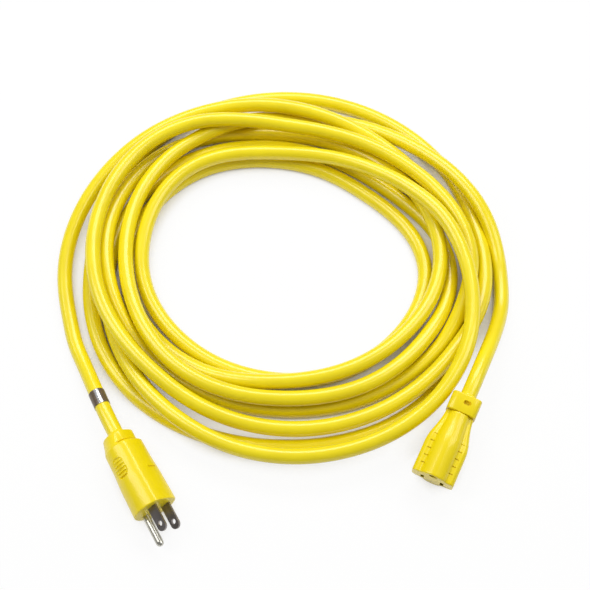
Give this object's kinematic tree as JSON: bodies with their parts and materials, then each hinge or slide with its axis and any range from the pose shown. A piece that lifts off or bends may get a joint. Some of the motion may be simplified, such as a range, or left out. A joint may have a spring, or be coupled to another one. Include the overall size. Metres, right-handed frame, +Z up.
{
  "type": "extension cord",
  "caption": "Round-jacket grounded extension cord in a loose coil, with a moulded straight-blade plug and a moulded connector lying at its ends.",
  "frame": {"origin": "centre of the footprint on the floor that the coil lies on", "axes": "+X to the right with the two ends in front, +Y to the back, +Z up"},
  "size_m": [0.304, 0.3363, 0.0307],
  "materials": {
    "jacket": "satin",
    "moulding": "satin",
    "foil": "satin",
    "bridge": "matte",
    "carrier": "matte",
    "blade": "nickel-plated brass",
    "pin": "nickel-plated brass",
    "contact": "bright",
    "copper": "bare copper",
    "black_wire": "satin",
    "white_wire": "satin",
    "green_wire": "satin"
  },
  "bodies": {
    "root": {"cord_coil": "jacket", "plug_lead": "jacket", "connector_lead": "jacket", "foil_label": "foil", "plug_body": "moulding", "blade_bridge": "bridge", "line_blade": "blade", "neutral_blade": "blade", "ground_pin": "pin", "plug_line_wire": "black_wire", "plug_neutral_wire": "white_wire", "plug_ground_wire": "green_wire", "plug_line_strands": "copper", "plug_neutral_strands": "copper", "plug_ground_strands": "copper", "connector_body": "moulding", "contact_carrier": "carrier", "line_contact": "contact", "neutral_contact": "contact", "ground_contact": "contact", "connector_line_wire": "black_wire", "connector_neutral_wire": "white_wire", "connector_ground_wire": "green_wire", "connector_line_strands": "copper", "connector_neutral_strands": "copper", "connector_ground_strands": "copper"}
  },
  "joints": []
}
